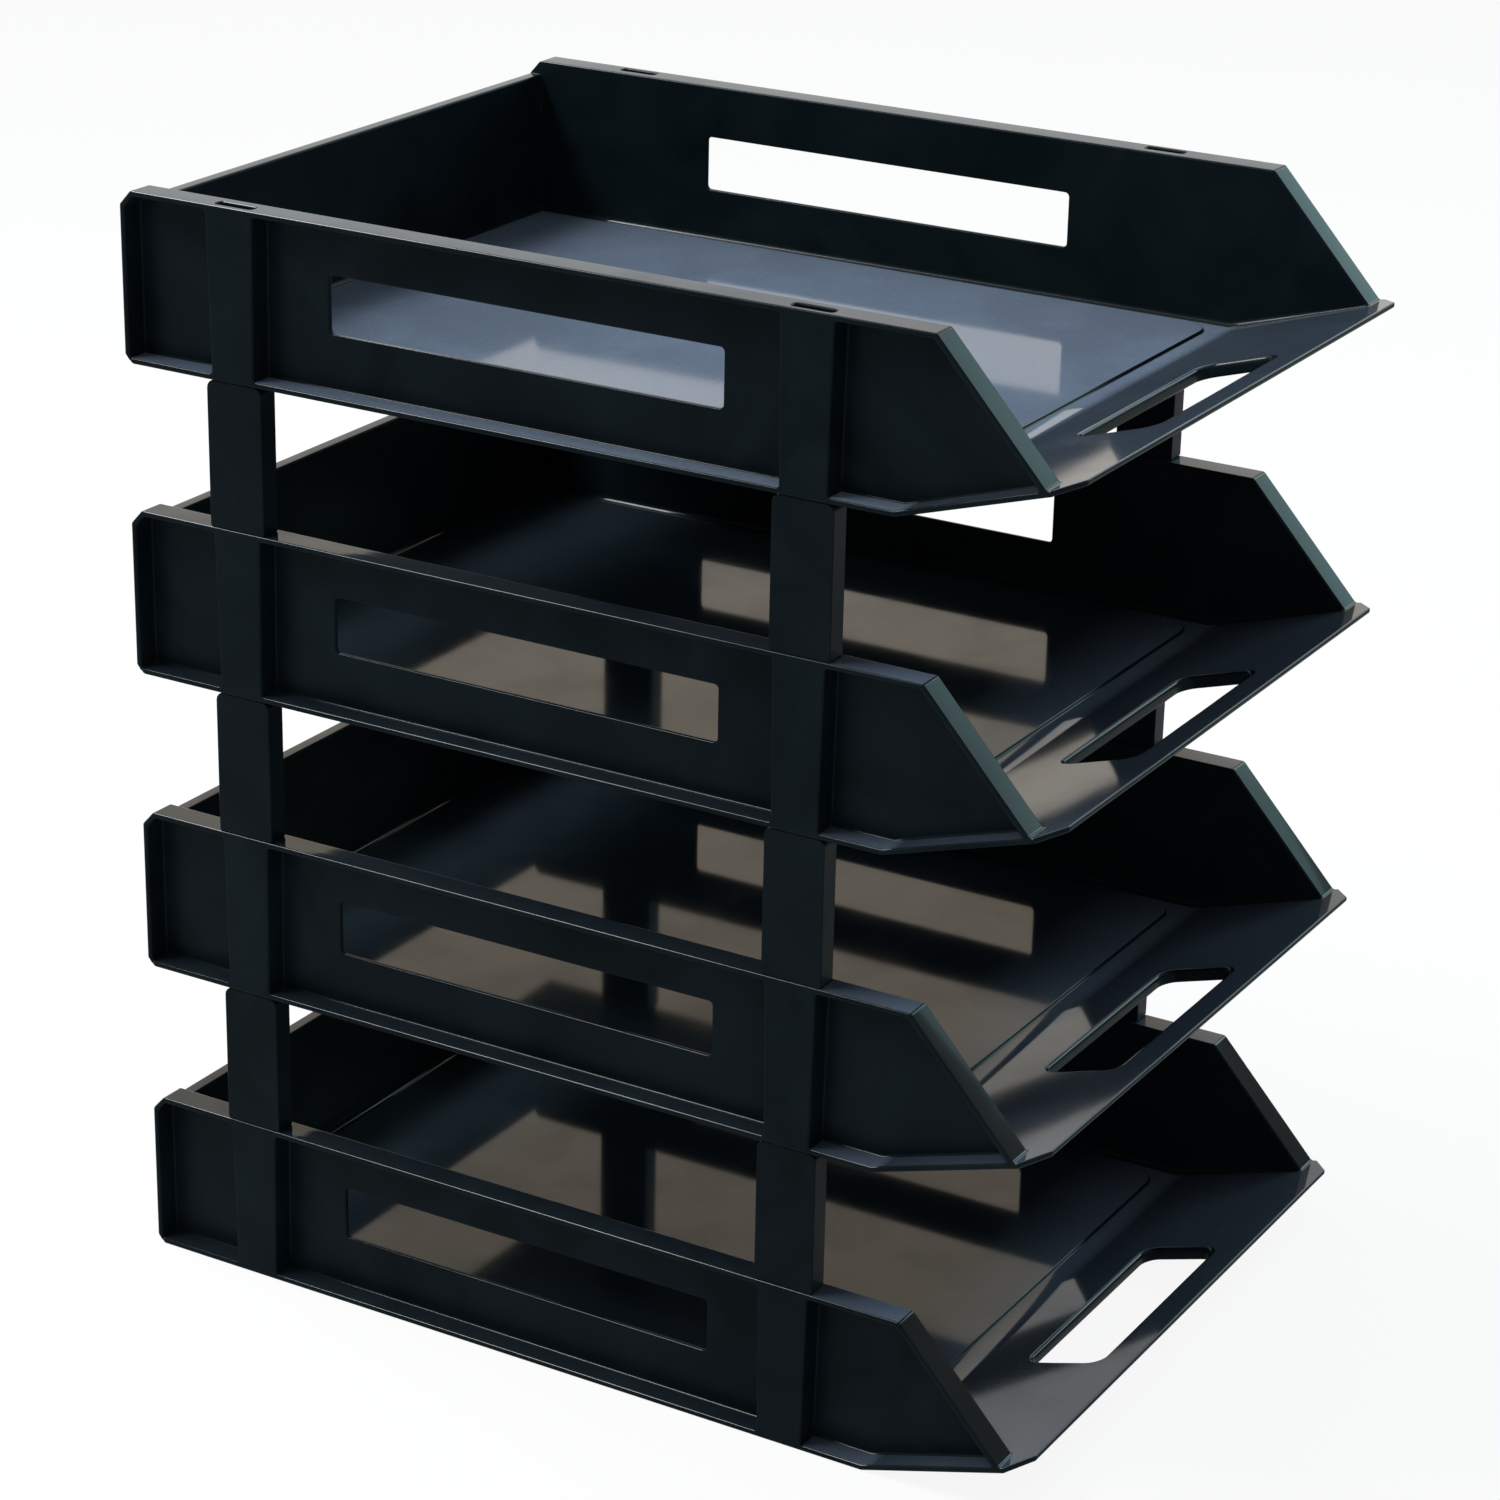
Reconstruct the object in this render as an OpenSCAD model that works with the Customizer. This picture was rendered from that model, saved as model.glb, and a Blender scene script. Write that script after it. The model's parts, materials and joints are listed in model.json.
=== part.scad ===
// Stack of four letter trays carried on plug-in riser posts.
// Each tray is one moulding: a floor with a ramped front lip, two side walls whose panels are framed by
// flanges that stand outwards, a lower rear wall, and four socket columns that take the risers' tongues.
// +Z is up, the open front faces -Y, and the origin is under the middle of the bottom tray.

/* [Tray] */
// Width over the side flanges
tray_w = 255; // [235:1:290]
// Depth from the front lip to the rear edge
tray_d = 350; // [320:1:400]
// Height of the side walls
tray_h = 59; // [52:0.5:80]
// Thickness of the floor, the wall panels and the flanges
skin = 2; // [1.6:0.1:2.6]
// How far the side flanges stand out from the side panels
flange_w = 8.5; // [8.5:0.25:12]
// How far the rear rim stands out from the rear panel
rear_rim = 3; // [2:0.5:6]
// How much lower the rear wall is than the side walls
rear_drop = 5; // [2:0.5:12]
// Length of the bevel on the upper rear corner of a side wall
top_bevel_d = 4.5; // [2:0.5:8]
// Height of the bevel on the upper rear corner of a side wall
top_bevel_h = 5; // [2:0.5:8]
// Bevel on the lower rear corner of a side wall
low_bevel = 3.5; // [1:0.5:5]

/* [Front] */
// Depth of the rising front part of the floor
ramp_d = 59; // [45:1:75]
// Height of the lip's underside above the table
lip_h = 18; // [12:0.5:24]
// Distance from the lip to the top of the sloped wall edge
slope_top = 47; // [35:1:60]
// Distance from the lip to the foot of the sloped wall edge
slope_foot = 9; // [6:0.5:14]
// Width of the lip's cut corners, seen from above
lip_corner_w = 9.5; // [4:0.5:12]
// Depth of the lip's cut corners, seen from above
lip_corner_d = 7; // [3:0.5:8]
// Corner radius of the rear edge, seen from above
rear_r = 1; // [0.5:0.25:2]

/* [Hand slot] */
// Width of the slot in the ramp
hand_w = 94; // [80:1:110]
// Depth of the slot, front to back
hand_d = 26; // [20:0.5:30]
// Distance from the lip to the slot
hand_setback = 12; // [8:0.5:16]
// Corner radius of the slot
hand_r = 5; // [2:0.5:8]
// How far the collar round the slot hangs below the ramp
hand_collar = 2.75; // [0.5:0.25:4]

/* [Side windows] */
// Distance from a socket column to the window
window_margin = 24; // [12:0.5:36]
// Height of the window's sill
window_sill = 20.5; // [12:0.5:26]
// Height of the window
window_h = 19.5; // [12:0.5:24]
// Corner radius of the window
window_r = 1.5; // [0.5:0.25:4]

/* [Floor] */
// Margin between the raised floor panel and the walls
panel_margin = 5; // [3:0.5:10]
// Height of the raised floor panel
panel_rise = 1; // [0.4:0.1:1.2]
// Corner radius of the raised floor panel
panel_r = 9; // [4:0.5:14]

/* [Columns] */
// Width of a socket column at the top
column_w = 19; // [18:0.5:26]
// How much narrower a column is at the bottom
column_taper = 2; // [0:0.25:3]
// Distance from the lip to the middle of the front columns
column_front = 90.5; // [80:0.5:96]
// Distance from the rear edge to the middle of the rear columns
column_rear = 44.5; // [30:0.5:48]

/* [Risers] */
// Height that a riser holds between two trays
riser_h = 51; // [30:1:90]
// Width of a riser
riser_w = 22; // [20:0.5:26]
// Thickness of a riser
riser_t = 8; // [6:0.25:8]
// Distance from the flange's outer edge to the riser's outer face
riser_inset = 0.5; // [0:0.1:1]
// Radius of a riser's upper corners
riser_r = 3; // [1:0.25:4]
// Width of a riser's tongues
tongue_w = 14; // [8:0.5:14.5]
// Thickness of a riser's tongues
tongue_t = 3.2; // [2:0.1:3.4]
// Length of a riser's tongues
tongue_h = 12; // [8:0.5:18]
// Bevel on a tongue's tip
tongue_bevel = 1; // [0.25:0.25:1.5]
// Clearance round a tongue in its socket
socket_gap = 0.2; // [0.1:0.05:0.4]

/* [Hidden] */
TRAYS = ["bottom_tray", "second_tray", "third_tray", "top_tray"];
SIDES = [["left", -1], ["right", 1]];
$fn = 64;

// Extra length of a cutter past the face that it cuts, and of a tongue's root inside its riser
over = 1;
tier_pitch = tray_h + riser_h;
half_w = tray_w / 2;
panel_out = half_w - flange_w;
panel_in = panel_out - skin;
ramp_angle = atan(lip_h / ramp_d);
ramp_skin = skin / cos(ramp_angle);
crease_d = ramp_d * (1 + (ramp_skin - skin) / lip_h);
riser_mid = half_w - riser_inset - riser_t / 2;
column_back = tray_d - column_rear;
COLUMNS = [["front", column_front], ["rear", column_back]];
SOCKETS = [for (side = SIDES) for (column = COLUMNS) [side[1] * riser_mid, column[1]]];

// Height of the ramp's top face at a distance from the lip
function ramp_top(distance) = lip_h * (1 - distance / ramp_d) + ramp_skin;

// Unit normal to the left of the way from one point to the next
function left_normal(from, to) = let (way = (to - from) / norm(to - from)) [-way[1], way[0]];

// A corner of a counter-clockwise outline, moved inwards from both its edges
function inset_corner(before, corner, after, depth) =
    let (n1 = left_normal(before, corner))
    let (n2 = left_normal(corner, after))
    corner + depth * (n1 + n2) / (1 + n1 * n2);

// A whole counter-clockwise outline, moved inwards
function inset(outline, depth) =
    let (count = len(outline))
    [for (i = [0 : count - 1])
        inset_corner(outline[(i + count - 1) % count], outline[i], outline[(i + 1) % count], depth)];

// How far the sloped wall edge rises for each millimetre of depth
slope_rise = (tray_h - ramp_top(slope_foot)) / (slope_top - slope_foot);
// Where the line of the sloped edge meets the ramp's underside
tip_d = (slope_rise * slope_top + lip_h - tray_h) / (slope_rise + lip_h / ramp_d);

// Outline of a side wall, as distances from the lip and heights
side_outline = [
    [tip_d, lip_h * (1 - tip_d / ramp_d)],
    [ramp_d, 0],
    [tray_d - low_bevel, 0],
    [tray_d, low_bevel],
    [tray_d, tray_h - top_bevel_h],
    [tray_d - top_bevel_d, tray_h],
    [slope_top, tray_h]
];

// Outline that no part of a tray passes, seen from the side
tray_outline = [
    [0, lip_h],
    [ramp_d, 0],
    [tray_d - low_bevel, 0],
    [tray_d, low_bevel],
    [tray_d, tray_h],
    [0, tray_h]
];

// Section of the floor and the ramp
floor_section = [
    [0, lip_h],
    [ramp_d, 0],
    [tray_d, 0],
    [tray_d, skin],
    [crease_d, skin],
    [0, ramp_top(0)]
];

// Stands a drawing of distances and heights up along Y and Z, and gives it a width along X
module stand(from_x, width) {
    translate([from_x, 0, 0])
        rotate([90, 0, 90])
            linear_extrude(width)
                children();
}

// Draws its children, and their mirror image on the other side
module both_sides() {
    children();
    mirror([1, 0, 0])
        children();
}

// Rectangle with round corners, from its lowest corner
module round_rectangle(width, depth, radius) {
    translate([radius, 0])
        square([width - 2 * radius, depth]);
    translate([0, radius])
        square([width, depth - 2 * radius]);
    for (x = [radius, width - radius])
        for (y = [radius, depth - radius])
            translate([x, y])
                circle(r = radius);
}

// The tray seen from above, with the lip's cut corners and the round rear corners
module plan() {
    polygon([
        [lip_corner_w - half_w, 0],
        [half_w - lip_corner_w, 0],
        [half_w, lip_corner_d],
        [half_w, tray_d - rear_r],
        [half_w - rear_r, tray_d],
        [rear_r - half_w, tray_d],
        [-half_w, tray_d - rear_r],
        [-half_w, lip_corner_d]
    ]);
    for (side = SIDES)
        translate([side[1] * (half_w - rear_r), tray_d - rear_r])
            circle(r = rear_r);
}

// The hand slot seen from above, grown by a margin
module hand_plan(margin) {
    translate([-hand_w / 2 - margin, hand_setback - margin])
        round_rectangle(hand_w + 2 * margin, hand_d + 2 * margin, hand_r + margin);
}

// Floor, ramp and lip, with the raised floor panel
module floor_plate() {
    stand(-half_w, tray_w)
        polygon(floor_section);
    panel_from = crease_d + panel_margin;
    panel_to = tray_d - rear_rim - skin - panel_margin;
    translate([panel_margin - panel_in, panel_from, skin / 2])
        linear_extrude(skin / 2 + panel_rise)
            round_rectangle(2 * (panel_in - panel_margin), panel_to - panel_from, panel_r);
}

// Collar that hangs from the ramp all round the hand slot
module hand_collar_ring() {
    collar_from = hand_setback - skin;
    collar_to = hand_setback + hand_d + skin;
    collar_h = ramp_skin + hand_collar;
    intersection() {
        stand(-half_w, tray_w)
            polygon([
                [collar_from, ramp_top(collar_from)],
                [collar_from, ramp_top(collar_from) - collar_h],
                [collar_to, ramp_top(collar_to) - collar_h],
                [collar_to, ramp_top(collar_to)]
            ]);
        linear_extrude(tray_h)
            hand_plan(skin);
    }
}

// Side panel with its window, midway between the columns
module side_panel() {
    window_from = column_front + column_w / 2 + window_margin;
    window_to = column_back - column_w / 2 - window_margin;
    stand(panel_in, skin)
        difference() {
            polygon(side_outline);
            translate([window_from, window_sill])
                round_rectangle(window_to - window_from, window_h, window_r);
        }
}

// Flanges that frame a side panel and stand outwards from it
module side_flanges() {
    stand(panel_out - skin / 2, flange_w + skin / 2)
        difference() {
            polygon(side_outline);
            polygon(inset(side_outline, skin));
        }
}

// Socket column at a distance from the lip, from the foot of the side wall to its top
module column(distance) {
    top = column_w / 2;
    foot = top - column_taper / 2;
    stand(panel_out - skin / 2, flange_w + skin / 2)
        polygon([
            [distance - foot, 0],
            [distance + foot, 0],
            [distance + top, tray_h],
            [distance - top, tray_h]
        ]);
}

// Rear panel, and the rim that stands out along its top
module rear_wall() {
    height = tray_h - rear_drop;
    translate([-panel_out, tray_d - rear_rim - skin, 0])
        cube([2 * panel_out, skin, height]);
    translate([-panel_out, tray_d - rear_rim - skin, height - skin])
        cube([2 * panel_out, rear_rim + skin, skin]);
}

// Openings through the columns for the risers' tongues
module sockets() {
    width = tongue_w + 2 * socket_gap;
    depth = tongue_t + 2 * socket_gap;
    for (socket = SOCKETS)
        translate([socket[0] - depth / 2, socket[1] - width / 2, -over])
            cube([depth, width, tray_h + 2 * over]);
}

// One tray, with its lip at zero along Y
module tray_moulding() {
    difference() {
        intersection() {
            union() {
                floor_plate();
                hand_collar_ring();
                both_sides() {
                    side_panel();
                    side_flanges();
                    for (place = COLUMNS)
                        column(place[1]);
                }
                rear_wall();
            }
            linear_extrude(tray_h)
                plan();
            stand(-half_w, tray_w)
                polygon(tray_outline);
        }
        translate([0, 0, -over])
            linear_extrude(tray_h)
                hand_plan(0);
        sockets();
    }
}

// One tray, centred over the origin
module tray() {
    color([0.06, 0.08, 0.09])
        translate([0, -tray_d / 2, 0])
            tray_moulding();
}

// Tongue of a riser, standing on zero, with a bevelled tip
module tongue() {
    half = tongue_w / 2;
    stand(-tongue_t / 2, tongue_t)
        polygon([
            [-half, -over],
            [half, -over],
            [half, tongue_h - tongue_bevel],
            [half - tongue_bevel, tongue_h],
            [tongue_bevel - half, tongue_h],
            [-half, tongue_h - tongue_bevel]
        ]);
}

// One riser: a flat post with a tongue at each end, standing on zero
module riser() {
    color([0.05, 0.07, 0.08]) {
        stand(-riser_t / 2, riser_t)
            riser_face();
        translate([0, 0, riser_h])
            tongue();
        mirror([0, 0, 1])
            tongue();
    }
}

// Broad face of a riser, with round upper corners
module riser_face() {
    half = riser_w / 2;
    translate([-half, 0])
        square([riser_w, riser_h - riser_r]);
    translate([riser_r - half, 0])
        square([riser_w - 2 * riser_r, riser_h]);
    for (side = SIDES)
        translate([side[1] * (half - riser_r), riser_h - riser_r])
            circle(r = riser_r);
}

for (tier = [0 : len(TRAYS) - 1])
    translate([0, 0, tier * tier_pitch])
            tray();

for (tier = [1 : len(TRAYS) - 1])
    for (column = COLUMNS)
        for (side = SIDES)
            translate([side[1] * riser_mid, column[1] - tray_d / 2, tier * tier_pitch - riser_h])
                    riser();
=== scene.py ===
"""Looks of a stack of four open letter trays on plug-in riser posts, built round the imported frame.

Every tray and every riser is modelled again here with the round edges and the fillets of a moulding, on the
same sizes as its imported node, and then stands for that node. Lengths are in metres.
"""

import json
import logging
import math
from dataclasses import dataclass
from enum import Enum
from typing import Callable, Dict, List, Sequence, Tuple, Union

import bmesh
import bpy
from mathutils import Matrix, Vector

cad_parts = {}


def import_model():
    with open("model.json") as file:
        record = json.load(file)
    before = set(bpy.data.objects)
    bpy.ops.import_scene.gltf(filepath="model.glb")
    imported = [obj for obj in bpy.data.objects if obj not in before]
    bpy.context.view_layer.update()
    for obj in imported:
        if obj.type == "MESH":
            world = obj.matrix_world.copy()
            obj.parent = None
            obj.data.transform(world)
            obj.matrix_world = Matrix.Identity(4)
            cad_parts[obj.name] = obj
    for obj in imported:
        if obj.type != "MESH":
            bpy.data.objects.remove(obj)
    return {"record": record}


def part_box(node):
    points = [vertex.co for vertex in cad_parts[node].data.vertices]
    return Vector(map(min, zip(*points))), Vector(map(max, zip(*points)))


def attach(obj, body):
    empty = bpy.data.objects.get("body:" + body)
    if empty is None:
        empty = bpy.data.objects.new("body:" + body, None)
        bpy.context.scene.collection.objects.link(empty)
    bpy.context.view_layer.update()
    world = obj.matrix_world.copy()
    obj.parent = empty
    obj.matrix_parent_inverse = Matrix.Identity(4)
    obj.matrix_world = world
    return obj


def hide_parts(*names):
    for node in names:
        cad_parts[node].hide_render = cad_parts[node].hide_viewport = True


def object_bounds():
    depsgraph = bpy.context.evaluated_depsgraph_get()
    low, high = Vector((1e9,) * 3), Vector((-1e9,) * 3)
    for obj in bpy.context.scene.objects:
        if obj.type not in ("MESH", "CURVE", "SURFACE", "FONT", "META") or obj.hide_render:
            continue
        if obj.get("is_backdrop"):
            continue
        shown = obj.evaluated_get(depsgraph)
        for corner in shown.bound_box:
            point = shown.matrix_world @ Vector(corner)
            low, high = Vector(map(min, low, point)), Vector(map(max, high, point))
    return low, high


LOG = logging.getLogger("letter_trays")
MM = 0.001

# Meshes.
TOUCH = 1e-6  # points this near are one
CUT_TOUCH = 1e-7  # a cutting plane takes along points this near
FLAT = math.radians(0.5)  # faces that meet at less are one flat face
SHARP = math.radians(28.0)  # where faces meet at more, their edge is rounded
STEEP = 0.5  # an edge leaves another steeply where less of its length runs along it
LOOKS_UP = 0.5  # least height of the normal of a face that looks up
ROOM_SHARE = 0.42  # most of the room beside an edge that its rounding takes
ROOM_PLACES = (0.1, 0.5, 0.9)  # where along an edge that room is measured
EDGE_STEPS = 3  # steps across a round edge
CORNER_STEPS = 4  # least steps in an outline's round corner
HAND_STEPS = 6  # the same for the hand slot
ARC_STEP = 1.2 * MM  # radius for each further step
NORMAL_WEIGHT = 100  # how far large faces rule the smooth normals, from 1 to 100

# Finishes: stretches over which a finish changes, from its start to where it is complete. Several of them
# place painted light and shade on the level faces.
OPENS = 20.0 * MM  # height that ends at the top tray's underside: above it the stack lies open, below it painted shade keeps the level faces dark
RUBBED = (24.0 * MM, 4.0 * MM)  # depths below the top tray's rims
LIT_MOUTH = (96.0 * MM, 32.0 * MM)  # distances behind the lip, over which painted light comes in at the lower trays' open fronts
BACK_SHADE_REACH = 160.0 * MM  # distance from the top tray's back, over which the painted shade at its back fades
DUST_AND_SHEEN_RISE = (0.94, 0.995)  # heights of a face's normal: 1 where it lies level and 0 where it stands upright; dust and painted sheen lie where it is level
POLISHED = (0.64, 0.94)
UPRIGHT = (0.8, 0.3)

# Camera.
FILM = 36.0  # width of the film in millimetres
FAR = 100.0  # how far the camera sees

Colour = Tuple[float, float, float]
Outline = List[Tuple[float, float]]
Place = Callable[[float, float, float], Vector]


# ---- Shader graphs ----


class Value:
    """An output of a shader node, on which Python's operators add Math nodes."""

    def __init__(self, graph: "Graph", out: bpy.types.NodeSocket) -> None:
        """Keeps the graph and the node's output socket."""
        self.graph = graph
        self.out = out

    def _math(self, operation: str, first: "Number", second: "Number") -> "Value":
        """Adds a Math node with two operands, and hands back its result."""
        return self.graph.add("ShaderNodeMath", {"operation": operation}, {0: first, 1: second})

    def __add__(self, other: "Number") -> "Value":
        """Sum with another value."""
        return self._math("ADD", self, other)

    def __radd__(self, other: "Number") -> "Value":
        """Sum of a plain number and this value."""
        return self._math("ADD", other, self)

    def __rsub__(self, other: "Number") -> "Value":
        """Difference of a plain number and this value."""
        return self._math("SUBTRACT", other, self)

    def __mul__(self, other: "Number") -> "Value":
        """Product with another value."""
        return self._math("MULTIPLY", self, other)

    def __rmul__(self, other: "Number") -> "Value":
        """Product of a plain number and this value."""
        return self._math("MULTIPLY", other, self)

    def larger(self, other: "Number") -> "Value":
        """The larger of this value and another."""
        return self._math("MAXIMUM", self, other)


Number = Union[Value, float]
Setting = Union[Value, float, Sequence[float]]


class Graph:
    """The node tree of one material or world."""

    def __init__(self, tree: bpy.types.NodeTree) -> None:
        """Empties the tree, which is then filled again."""
        self.tree = tree
        tree.nodes.clear()

    def add(
        self,
        kind: str,
        settings: Dict[str, object],
        inputs: Dict[Union[int, str], Setting],
        output: Union[int, str] = 0,
    ) -> Value:
        """Adds a node, sets it up and connects it.

        Args:
            kind: The node's type.
            settings: The node's own settings.
            inputs: What goes into each socket: a link, a number or a colour.
            output: The output that is handed back.

        Returns:
            The chosen output of the new node.
        """
        node = self.tree.nodes.new(kind)
        for name, setting in settings.items():
            setattr(node, name, setting)
        for name, source in inputs.items():
            if isinstance(source, Value):
                self.tree.links.new(source.out, node.inputs[name])
            else:
                node.inputs[name].default_value = source
        return Value(self, node.outputs[output] if len(node.outputs) else None)

    def mix(self, factor: Number, first: Union[Value, Colour], second: Union[Value, Colour]) -> Value:
        """Mixes two colours.

        Args:
            factor: Share of the second colour.
            first: Colour where the factor is 0.
            second: Colour where the factor is 1.

        Returns:
            The mixed colour.
        """
        inputs: Dict[Union[int, str], Setting] = {"Factor": factor}
        for socket, colour in ((6, first), (7, second)):
            inputs[socket] = colour if isinstance(colour, Value) else (*colour, 1.0)
        return self.add("ShaderNodeMix", {"data_type": "RGBA"}, inputs, 2)

    def clamp(self, value: Number, low: float, high: float) -> Value:
        """Maps a value's stretch from low to high onto 0 to 1, and limits it there."""
        inputs = {"Value": value, "From Min": low, "From Max": high}
        return self.add("ShaderNodeMapRange", {"clamp": True}, inputs)

    def along(self, vector: Value, axis: str) -> Value:
        """Takes the part of a vector along X, Y or Z. A normal's along Z is 1 on a face that looks up."""
        return self.add("ShaderNodeSeparateXYZ", {}, {"Vector": vector}, axis)


# ---- Finishes ----


class Slot(Enum):
    """Material slots of the record."""

    TRAY = "tray_plastic"
    RISER = "riser_plastic"


@dataclass(frozen=True)
class Noise:
    """Irregular patches on a surface.

    Attributes:
        size: Size of the patches.
        detail: Number of finer octaves.
        stirred: How much the patches are distorted.
        low: Value of the noise that counts as none.
        high: Value of the noise that counts as full.
    """

    size: float
    detail: float
    stirred: float
    low: float = 0.0
    high: float = 1.0

    def add(self, graph: Graph, place: Value) -> Value:
        """Adds the noise itself, from 0 to 1, at a place in metres."""
        inputs = {"Vector": place, "Scale": 1.0 / self.size, "Detail": self.detail}
        return graph.add("ShaderNodeTexNoise", {}, {**inputs, "Distortion": self.stirred})

    def patches(self, graph: Graph, place: Value) -> Value:
        """Adds the patches: the noise from low to high, as 0 to 1."""
        return graph.clamp(self.add(graph, place), self.low, self.high)


@dataclass(frozen=True)
class DustAndSheen:
    """Dust and a painted sheen on what faces upwards: a pale blue haze that stands for the overhead light
    that level faces catch, as well as settled dust.

    Attributes:
        colour: Its colour, a pale blue that is partly painted sheen of the overhead light.
        inside: Share of a face that it covers within the stack, kept low as painted shade under the trays
            above.
        mouth: The same at the open fronts of the lower trays, raised there as painted light.
        top: The same on the top tray, which lies open to the light.
        rims: The same on the top tray's rims, which hands rub clean.
        corner: How much of it lies at the top tray's back, against the front: less there, as painted shade.
        even: Share of it that lies evenly.
        smudged: Share of it that lies in the smudges alone.
        specked: Share of it that lies in the specks alone.
    """

    colour: Colour
    inside: float
    mouth: float
    top: float
    rims: float
    corner: float = 0.55
    even: float = 0.74
    smudged: float = 0.11
    specked: float = 0.15

    def cover(self, graph: Graph, place: Value, bare: Value, low: Vector, high: Vector) -> Value:
        """Adds the share of a level face that the dust and painted sheen cover, by where the face lies: low
        within the stack as painted shade, higher at the lower trays' fronts and on the open top tray as
        painted light, less at the top tray's back as painted shade, and low on the rubbed rims.

        Args:
            graph: The material's graph.
            place: The place on the object, in metres.
            bare: 1 where the stack lies open at the top, and 0 below.
            low: The top tray's lowest corner.
            high: The top tray's highest corner.

        Returns:
            The share.
        """
        depth = graph.along(place, "Y")
        rubbed = graph.clamp(graph.along(place, "Z"), high.z - RUBBED[0], high.z - RUBBED[1])
        front = graph.clamp(depth, low.y + LIT_MOUTH[0], low.y + LIT_MOUTH[1])
        # Painted shade at the top tray's back, fading towards its front.
        back_shade = self.corner + (1.0 - self.corner) * graph.clamp(depth, high.y, high.y - BACK_SHADE_REACH)
        # Painted shade within the stack under the trays above, and painted light at the lower trays' open
        # fronts.
        lower = self.inside + (self.mouth - self.inside) * front
        share = lower * (1.0 - bare) + self.top * back_shade * bare
        return share * (1.0 - rubbed) + self.rims * rubbed

    def amount(self, smudges: Value, specks: Value) -> Value:
        """Adds how thick the dust lies within what it covers, from the even share to 1."""
        return self.even + self.smudged * smudges + self.specked * specks


@dataclass(frozen=True)
class MouldedPlastic:
    """Dark moulding plastic: polished where it lies level, satin where it stands upright, and in daily use,
    with dust and a painted sheen on its level faces.

    Attributes:
        name: The material's name.
        deep: Colour of the plastic.
        cast: Colour of the faint streaks left by the melt.
        index: Refractive index of the satin skin.
        gloss_index: Refractive index of the polished skin on level and sloped faces.
        gloss: Share of the polished skin where the stack is closed in, and where it lies open at the top.
        polish: Roughness of the polished skin.
        satin: Roughness of an upright face.
        smear: How much rougher a handled spot is.
        dust: The dust and painted sheen on its level faces, with painted shade where the stack is closed in.
        waves: The waves in the surface.
        wave_depth: Depth of those waves.
        worn: Share of the polish that a smudge takes away.
        smear_mix: Shares of the smudges and of the specks in what is handled.
        grain_share: Depth of the grain, against that of the waves.
    """

    name: str
    deep: Colour
    cast: Colour
    index: float
    gloss_index: float
    gloss: Tuple[float, float]
    polish: float
    satin: float
    smear: float
    dust: DustAndSheen
    waves: Noise
    wave_depth: float
    worn: float = 0.25
    smear_mix: Tuple[float, float] = (0.7, 0.3)
    grain_share: float = 0.02

    def material(self, low: Vector, high: Vector) -> bpy.types.Material:
        """Builds the material.

        Args:
            low: The top tray's lowest corner: above its underside the stack lies open.
            high: The top tray's highest corner: hands rub its rims clean, and painted shade darkens its back.

        Returns:
            The new material.
        """
        material = bpy.data.materials.new(self.name)
        material.use_nodes = True
        graph = Graph(material.node_tree)
        place = graph.add("ShaderNodeTexCoord", {}, {}, "Object")
        rise = graph.along(graph.add("ShaderNodeTexCoord", {}, {}, "Normal"), "Z")
        # 1 above the top tray's underside, where the stack lies open, and 0 below: it lays painted shade on
        # the lower trays' level faces, and sets the share of the polished skin.
        bare = graph.clamp(graph.along(place, "Z"), low.z - OPENS, low.z)
        smudges, specks = SMUDGES.patches(graph, place), SPECKS.patches(graph, place)
        cover = self.dust.cover(graph, place, bare, low, high)
        # Dust and painted sheen: a pale blue mixed over the plastic's colour on level faces, standing for the
        # overhead light they catch, and held back as painted shade where the stack is closed in.
        dust_and_sheen_mix = graph.clamp(rise, *DUST_AND_SHEEN_RISE) * self.dust.amount(smudges, specks) * cover
        colour = graph.mix(STREAKS.patches(graph, place), self.deep, self.cast)
        colour = graph.mix(dust_and_sheen_mix, colour, self.dust.colour)
        rough = self.polish + (self.satin - self.polish) * graph.clamp(rise, *UPRIGHT)
        rough = rough + self.smear * (self.smear_mix[0] * smudges + self.smear_mix[1] * specks)
        gloss = self.gloss[0] + (self.gloss[1] - self.gloss[0]) * bare
        inputs = {
            "Base Color": colour,
            "Roughness": rough,
            "IOR": self.index,
            "Coat Weight": graph.clamp(rise, *POLISHED) * gloss * (1.0 - self.worn * smudges),
            "Coat Roughness": self.polish,
            "Coat IOR": self.gloss_index,
            "Normal": self._bump(graph, place),
        }
        shader = graph.add("ShaderNodeBsdfPrincipled", {}, inputs)
        graph.add("ShaderNodeOutputMaterial", {}, {"Surface": shader})
        return material

    def _bump(self, graph: Graph, place: Value) -> Value:
        """Adds the surface's relief: long waves and a fine grain.

        Args:
            graph: The material's graph.
            place: The place on the object, in metres.

        Returns:
            The bumped normal.
        """
        relief = self.waves.add(graph, place) + self.grain_share * GRAIN.add(graph, place)
        inputs = {"Height": relief, "Distance": self.wave_depth, "Strength": 1.0}
        return graph.add("ShaderNodeBump", {}, inputs)


def background_rays(graph: Graph) -> Value:
    """Adds a mask of the rays that show the background: straight, mirrored and through clear things.

    Args:
        graph: The graph of the world or of the floor.

    Returns:
        1 for those rays, and 0 for the rays that light things.
    """
    mask: Value = graph.add("ShaderNodeLightPath", {}, {}, "Is Camera Ray")
    for kind in ("Is Glossy Ray", "Is Transmission Ray"):
        mask = mask.larger(graph.add("ShaderNodeLightPath", {}, {}, kind))
    return mask


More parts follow.
